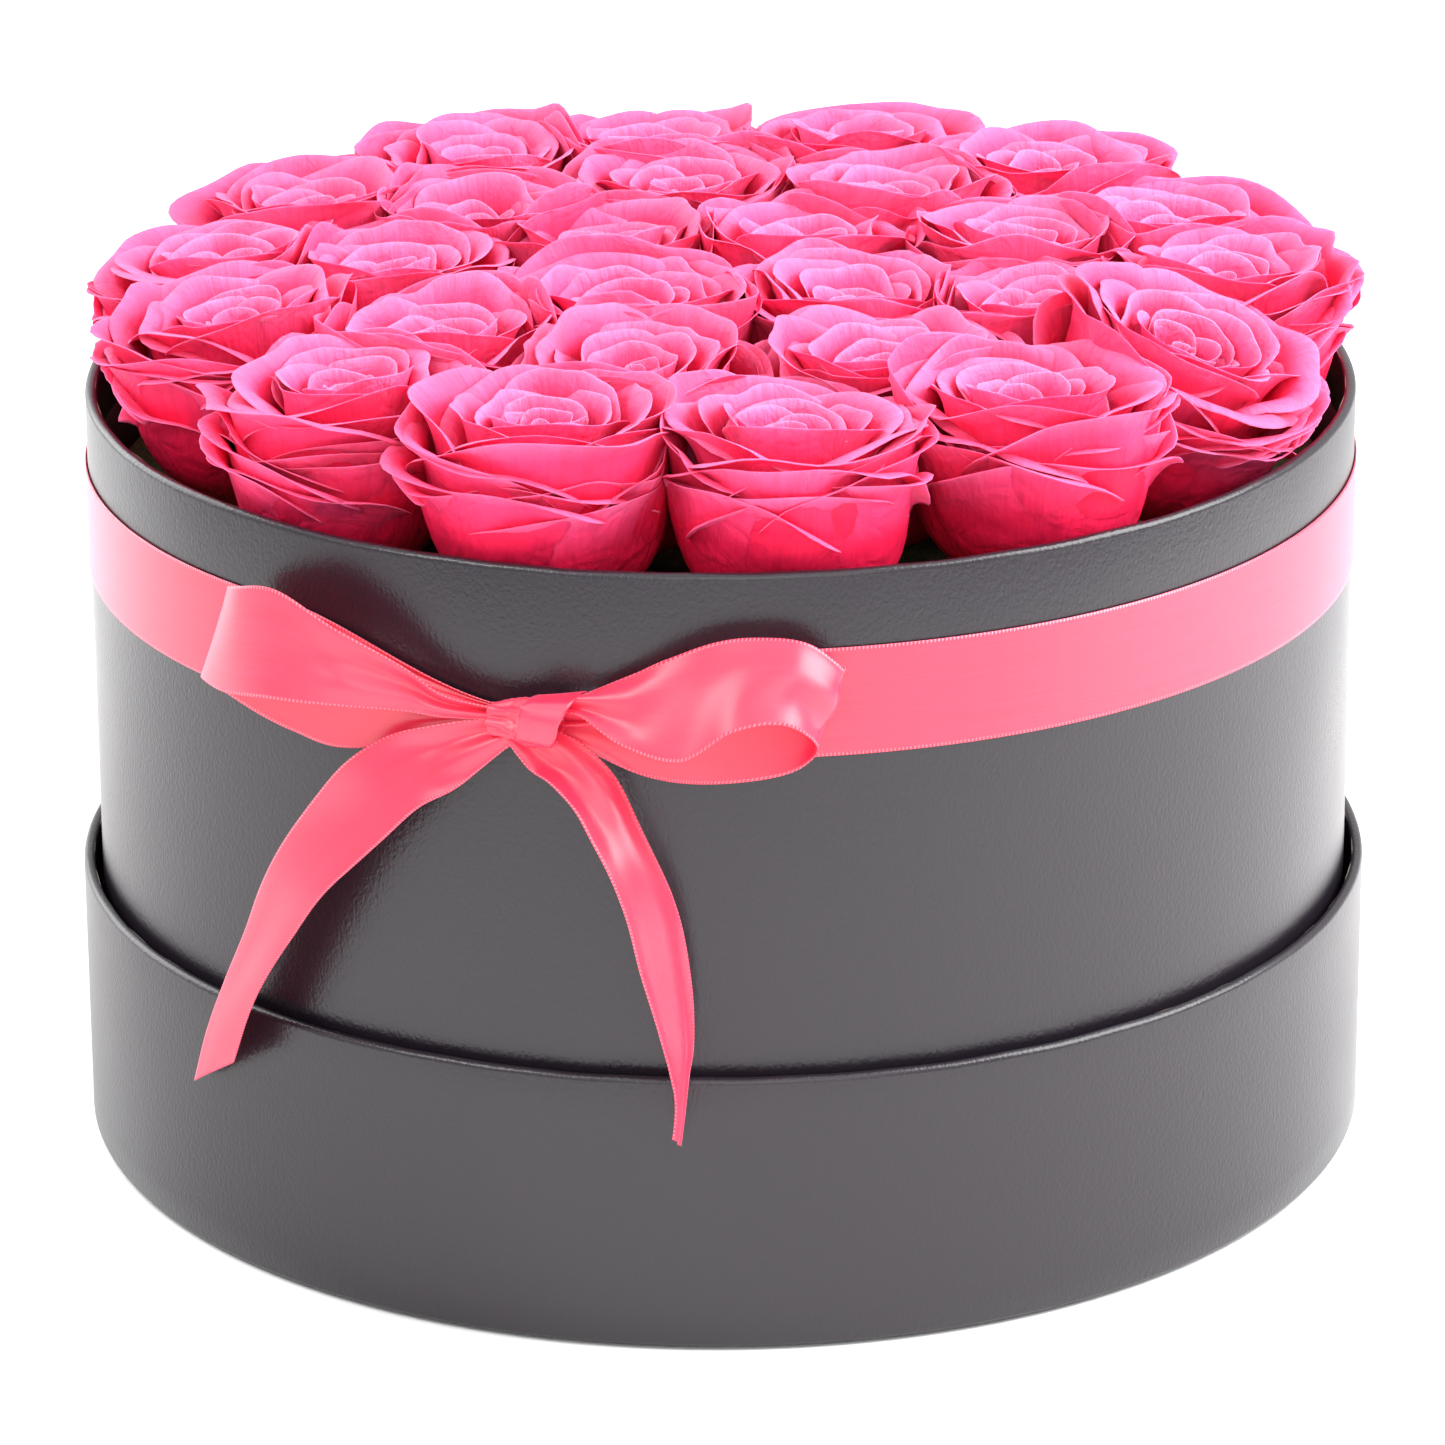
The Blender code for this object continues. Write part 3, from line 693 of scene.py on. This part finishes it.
stem_look, tree, shader, coords = new_material("dried rose calyx and stem")
fibre_map = add(tree, "ShaderNodeMapping", {"Vector": coords.outputs["Object"], "Scale": (1, 1, 0.15)})
fibre = add(tree, "ShaderNodeTexNoise", {"Vector": fibre_map.outputs["Vector"], "Scale": 900.0,
                                         "Detail": 2.0})
green = add(tree, "ShaderNodeMix", {"Factor": fibre.outputs["Fac"], "A": srgb("4d5a2c"),
                                    "B": srgb("7c7a46")}, data_type="RGBA")
feed(tree, shader, {"Base Color": green.outputs["Result"], "Roughness": 0.7})

# %% [markdown]
# ## One petal
# Each petal starts as a small flat grid. Its long way becomes a side curve from the base, out to the belly
# and up to a rim that leans or rolls out, and its short way becomes an arc round the heart. Its tip is a
# blunt point, because the two upper edges roll back. Noise along the rim gives the waves, creases and nicks
# of a dried edge. Grid and formula are used because every petal has the same build and only its numbers
# differ. A second UV map holds the petal's place in the bloom and its strength of dye, for the material.

# %% Petal
LIP = 0.84  # the share of a petal below its rolled lip


def bezier(points, t):
    """A place on the cubic curve through four control points."""
    a, b, c, d = points
    s = 1 - t
    return a * s ** 3 + b * 3 * s * s * t + c * 3 * s * t * t + d * t ** 3


def add_petal(bm, uv_petal, uv_place, petal, dye):
    """Adds one petal to a bloom whose heart is at the origin, and returns its points."""
    grid = bmesh.ops.create_grid(bm, x_segments=10 + 2 * round(petal["layer"]),
                                 y_segments=5 + 2 * round(petal["layer"]), size=1)
    chance = petal["seed"]
    radius, depth, height = petal["radius"], petal["depth"], petal["height"]
    throat = radius - petal["flare"]
    side = (
        Vector((0.20 * radius + 0.8 * MM, -depth)),
        Vector((throat * petal["belly"], -0.85 * depth)),
        Vector((throat * 0.98, height - 0.42 * min(depth, 26 * MM))),
        Vector((radius, height)),
    )
    flat = {}
    for vertex in grid["verts"]:
        u, v = vertex.co.x, 1 - (0.5 - vertex.co.y / 2) ** 1.7  # the rows crowd towards the rim
        flat[vertex] = (u, v)
        reach = v * (1 - petal["blunt"] * abs(u) ** petal["corner"] - 0.13 * abs(u) ** 6)
        spot = bezier(side, reach)
        rim = eased((v - 0.62) / 0.38)
        flank = eased((abs(u) - 0.45) / 0.55) * eased((v - 0.40) / 0.5)
        # Unevenness of four kinds: slow waves, ruffles, fine nicks and sharp creases.
        wave = noise.noise(Vector((u * 1.9 + chance, v * 1.2, chance * 0.37)))
        ruffle = noise.noise(Vector((u * 5.5 + chance * 1.7, v * 2.0, 4.1 + chance)))
        nick = noise.noise(Vector((u * 13.0 + chance * 2.3, v * 3.0, 9.7 + chance)))
        fold = 0.35 - abs(noise.noise(Vector((u * 3.2 + chance * 3.1, v * 1.6 + 2.0, chance))))
        # The lip above LIP rolls out as an arc, most at the sides of the tip, so the tip comes to a point.
        curl = petal["roll"] * (petal["point"] + (1 - petal["point"]) * eased(abs(u - petal["tip"]) / 0.65))
        curl *= 1 + 0.7 * ruffle
        bend = min(2.5, max(0.02, curl))
        turned = bend * max(0.0, (v - LIP) / (1 - LIP) + 0.10 * flank * v)
        roll_radius = (1 - LIP) * (depth + height) / bend
        out = spot.x + roll_radius * (1 - math.cos(turned)) + petal["spiral"] * u
        out -= petal["tuck"] * abs(u) ** 3
        up = spot.y + roll_radius * (math.sin(turned) - turned)
        out += petal["crease"] * fold * (0.3 + rim + 0.6 * flank)
        out += petal["wave"] * wave * (0.35 + rim) + petal["ruffle"] * ruffle * (0.1 + rim + flank)
        up += rim * (0.6 * petal["crease"] * fold + 0.7 * petal["ruffle"] * ruffle + petal["nick"] * nick)
        up += petal["wave"] * 0.8 * rim * noise.noise(Vector((u * 1.4 - chance, 7.7, chance)))
        # Up and out become a place round the heart, which is slightly oval.
        spread = petal["width"] * (0.40 + 0.60 * math.sin(min(1.0, v * 1.35) * math.pi / 2))
        bearing = petal["bearing"] + u * spread + petal["twist"] * (v - 0.5)
        out *= 1 + petal["oval"] * math.cos(2 * (bearing - petal["oval_bearing"]))
        vertex.co = (out * math.cos(bearing), out * math.sin(bearing), up)
    for face in {face for vertex in grid["verts"] for face in vertex.link_faces}:
        for loop in face.loops:
            u, v = flat[loop.vert]
            loop[uv_petal].uv = (0.5 + 0.5 * u + chance % 7, v)  # each petal gets its own stretch of veins
            loop[uv_place].uv = (petal["layer"], dye)
    return grid["verts"]


# %% [markdown]
# ## A bloom's petals
# From the heart outwards each petal turns on by the golden angle, 137.5 degrees, is a little wider and
# stands a little further out. The heart is tight and slightly sunk, the petals outside it stand highest, and
# the outermost ones, the guard petals, sink and lean out into the gaps between the blooms. A rose next to
# the wall gets a few more, low ones, which line it.

# %% Bloom
GOLDEN_ANGLE = math.pi * (3 - math.sqrt(5))
SPIRAL_PETALS = 20
GUARD_PETALS = 5
LINING_PETALS = 5


def bloom_petals(luck, wall_bearing):
    """The numbers that shape each petal of one rose, from the heart outwards."""
    petals = []
    oval = luck.uniform(0.02, 0.10)
    oval_bearing = luck.uniform(0, math.pi)
    start = luck.uniform(0, 2 * math.pi)
    openness = luck.uniform(0.85, 1.05)
    lining = 0 if wall_bearing is None else LINING_PETALS
    for number in range(SPIRAL_PETALS + GUARD_PETALS + lining):
        guard = number >= SPIRAL_PETALS
        lines_wall = number >= SPIRAL_PETALS + GUARD_PETALS
        share = min(1.0, number / (SPIRAL_PETALS - 1))
        radius = 1.4 + 25.6 * share ** openness
        crown = -4.0 + 8.6 * math.sin(math.pi * 0.62 * share)
        drop = luck.uniform(3.0, 16.0) if lines_wall else luck.uniform(-0.5, 10.0) if guard else 0.0
        crisp = luck.random() < (0.5 if guard else 0.2)  # a petal that dried with a crumpled edge
        petals.append({
            "bearing": (wall_bearing + (number % lining - (lining - 1) / 2) * 0.55 if lines_wall
                        else start + number * GOLDEN_ANGLE) + luck.uniform(-0.3, 0.3),
            "radius": (radius + (luck.uniform(0.5, 3.5) if guard else luck.uniform(-0.6, 0.6) * share)) * MM,
            "depth": (15 + 31 * share) * MM,
            "height": (crown - drop + luck.uniform(-1, 1) * (0.7 + 1.1 * share)) * MM,
            "belly": 1.10 + 0.12 * share,
            "flare": (0.1 + (4.0 if guard else 6.5) * share ** 1.05) * MM * luck.uniform(0.6, 1.2),
            "roll": (0.1 + (1.5 if guard else 1.9) * share ** 0.9) * luck.uniform(0.45, 1.4),
            "point": luck.uniform(0.1, 1.0),
            "tip": luck.uniform(-0.25, 0.25),
            "width": (1.45 if guard else 2.1 - 0.9 * share ** 0.7) + luck.uniform(-0.1, 0.15),
            "blunt": (0.05 + 0.07 * share) * luck.uniform(0.3, 1.9),
            "corner": luck.uniform(1.1, 2.6),
            "spiral": (1.0 - 0.3 * share) * MM,
            "tuck": 3.4 * share * MM,
            "wave": (0.9 + 3.6 * share) * MM,
            "crease": (0.4 + 4.4 * share) * MM,
            "ruffle": (0.3 + 1.7 * share + (1.6 * share if crisp else 0)) * MM,
            "nick": (0.15 + (1.4 * share if crisp else 0.3 * share)) * MM,
            "twist": luck.uniform(-0.15, 0.15),
            "oval": oval * (1 - 0.5 * share),
            "oval_bearing": oval_bearing,
            "layer": share,
            "seed": luck.uniform(0, 100),
        })
    return petals


# %% [markdown]
# ## Pressing the blooms together
# The roses are packed so tightly that each one is flat against its neighbours. A petal that would reach
# past the middle between two hearts is pushed back, by all but a tenth, and up. Below the rim nothing goes
# through the wall of the box, and above it petals hang over a little. Each bloom stands where its packed
# stem stands.

# %% Press
NEAR = 75 * MM  # hearts closer than this are neighbours
HEART_DROP = 1.5 * MM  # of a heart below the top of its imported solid
WALL_INSIDE = lining_high.x - 0.8 * MM
PETALS_TOP = cad_size[1][2] + 12 * MM  # where tall petals start to bow down


def stem_of(name):
    """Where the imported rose's stem stands, from the lowest points of its solid."""
    points = [vertex.co for vertex in bpy.data.objects[name].data.vertices]
    foot = min(point.z for point in points)
    low = [point for point in points if point.z < foot + 1 * MM]
    return sum(low, Vector()) / len(low)


def pressed(point, heart, hearts, slack, overhang):
    """The point, kept on its own side of every neighbour and, but for the overhang, inside the box."""
    point = point.copy()
    for other in hearts:
        way = (other - heart).to_2d()
        if not 0 < way.length < NEAR:
            continue
        past = (point - heart).to_2d().dot(way.normalized()) - way.length / 2 - slack
        if past > 0:
            back = way.normalized() * past * 0.9
            point -= Vector((back.x, back.y, -0.35 * past))
    out = point.to_2d().length
    point.z = min(point.z, PETALS_TOP + 0.35 * (point.z - PETALS_TOP))
    above = max(0.0, point.z - BOX_RIM)
    room = WALL_INSIDE + above * overhang
    if out > room:
        point.xy = point.xy * ((room + 0.08 * above + 0.15 * min(out - room, above)) / out)
    return point


# %% Roses
OUTER_RING = 100 * MM  # roses that stand further out than this are next to the wall
OVERHANG = 0.15  # of a petal past the wall for each length that it stands above the rim
LEANS = {"rose_05": (0.42, 6 * MM)}  # the one rose that has tipped out over the rim: angle and shift
HEART_SEED, BLOOM_SEED = 1000, 11
STEM_SIDES = 12
CALYX_DROP = 43 * MM  # of the calyx's middle below the heart
STALK_MIDDLE = 12.2 * MM  # above the stem's foot
PETAL = 0.28 * MM  # thickness
names = sorted(name for name in frame["nodes"] if name.startswith("rose_"))
stems = {name: stem_of(name) for name in names}
hearts = {}
for number, name in enumerate(names):
    luck = random.Random(HEART_SEED + number)
    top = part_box(name)[1][2] - HEART_DROP
    hearts[name] = Vector((stems[name].x, stems[name].y, top))
    hearts[name] += Vector((luck.uniform(-2, 2), luck.uniform(-2, 2), luck.uniform(-1.5, 1.5))) * MM

for number, name in enumerate(names):
    luck = random.Random(BLOOM_SEED + number)
    heart, stem = hearts[name], stems[name]
    outward = Vector((stem.x, stem.y, 0)).normalized()
    angle, shift = LEANS.get(name, (luck.uniform(0.0, 0.10), 0.0))
    tip = Matrix.Rotation(angle, 4, Vector((-outward.y, outward.x, 0)))
    bm = bmesh.new()
    uv_petal = bm.loops.layers.uv.new("petal")
    uv_place = bm.loops.layers.uv.new("place in bloom")
    dye = luck.uniform(0.93, 1.04)
    wall_bearing = math.atan2(stem.y, stem.x) if stem.to_2d().length > OUTER_RING else None
    overhang = 4 * OVERHANG if name in LEANS else OVERHANG
    for petal in bloom_petals(luck, wall_bearing):
        slack = luck.uniform(-0.5, 2.5) * MM
        for vertex in add_petal(bm, uv_petal, uv_place, petal, dye):
            moved = tip @ vertex.co + heart + outward * shift
            vertex.co = pressed(moved, heart, hearts.values(), slack, overhang)
    calyx = bmesh.ops.create_cone(bm, cap_ends=True, segments=STEM_SIDES, radius1=3 * MM, radius2=9 * MM,
                                  depth=9 * MM)["verts"]
    bmesh.ops.translate(bm, verts=calyx, vec=(stem.x, stem.y, heart.z - CALYX_DROP))
    stalk = bmesh.ops.create_cone(bm, cap_ends=True, segments=STEM_SIDES, radius1=2.6 * MM, radius2=2.9 * MM,
                                  depth=24 * MM)["verts"]
    bmesh.ops.translate(bm, verts=stalk, vec=(stem.x, stem.y, stem.z + STALK_MIDDLE))
    for face in {face for vertex in [*calyx, *stalk] for face in vertex.link_faces}:
        face.material_index = 1
    bloom = object_from("bloom_" + name[-2:], bm, petal_look, stem_look, body="insert", slot="rose_petals",
                        replaces=[name])
    thicken(bloom, "flesh", PETAL)
    soften = bloom.modifiers.new("soften", "SUBSURF")
    soften.levels = 1
    soften.render_levels = 1
print(len(names), "roses of", SPIRAL_PETALS + GUARD_PETALS, "petals, and", LINING_PETALS, "more by the wall")
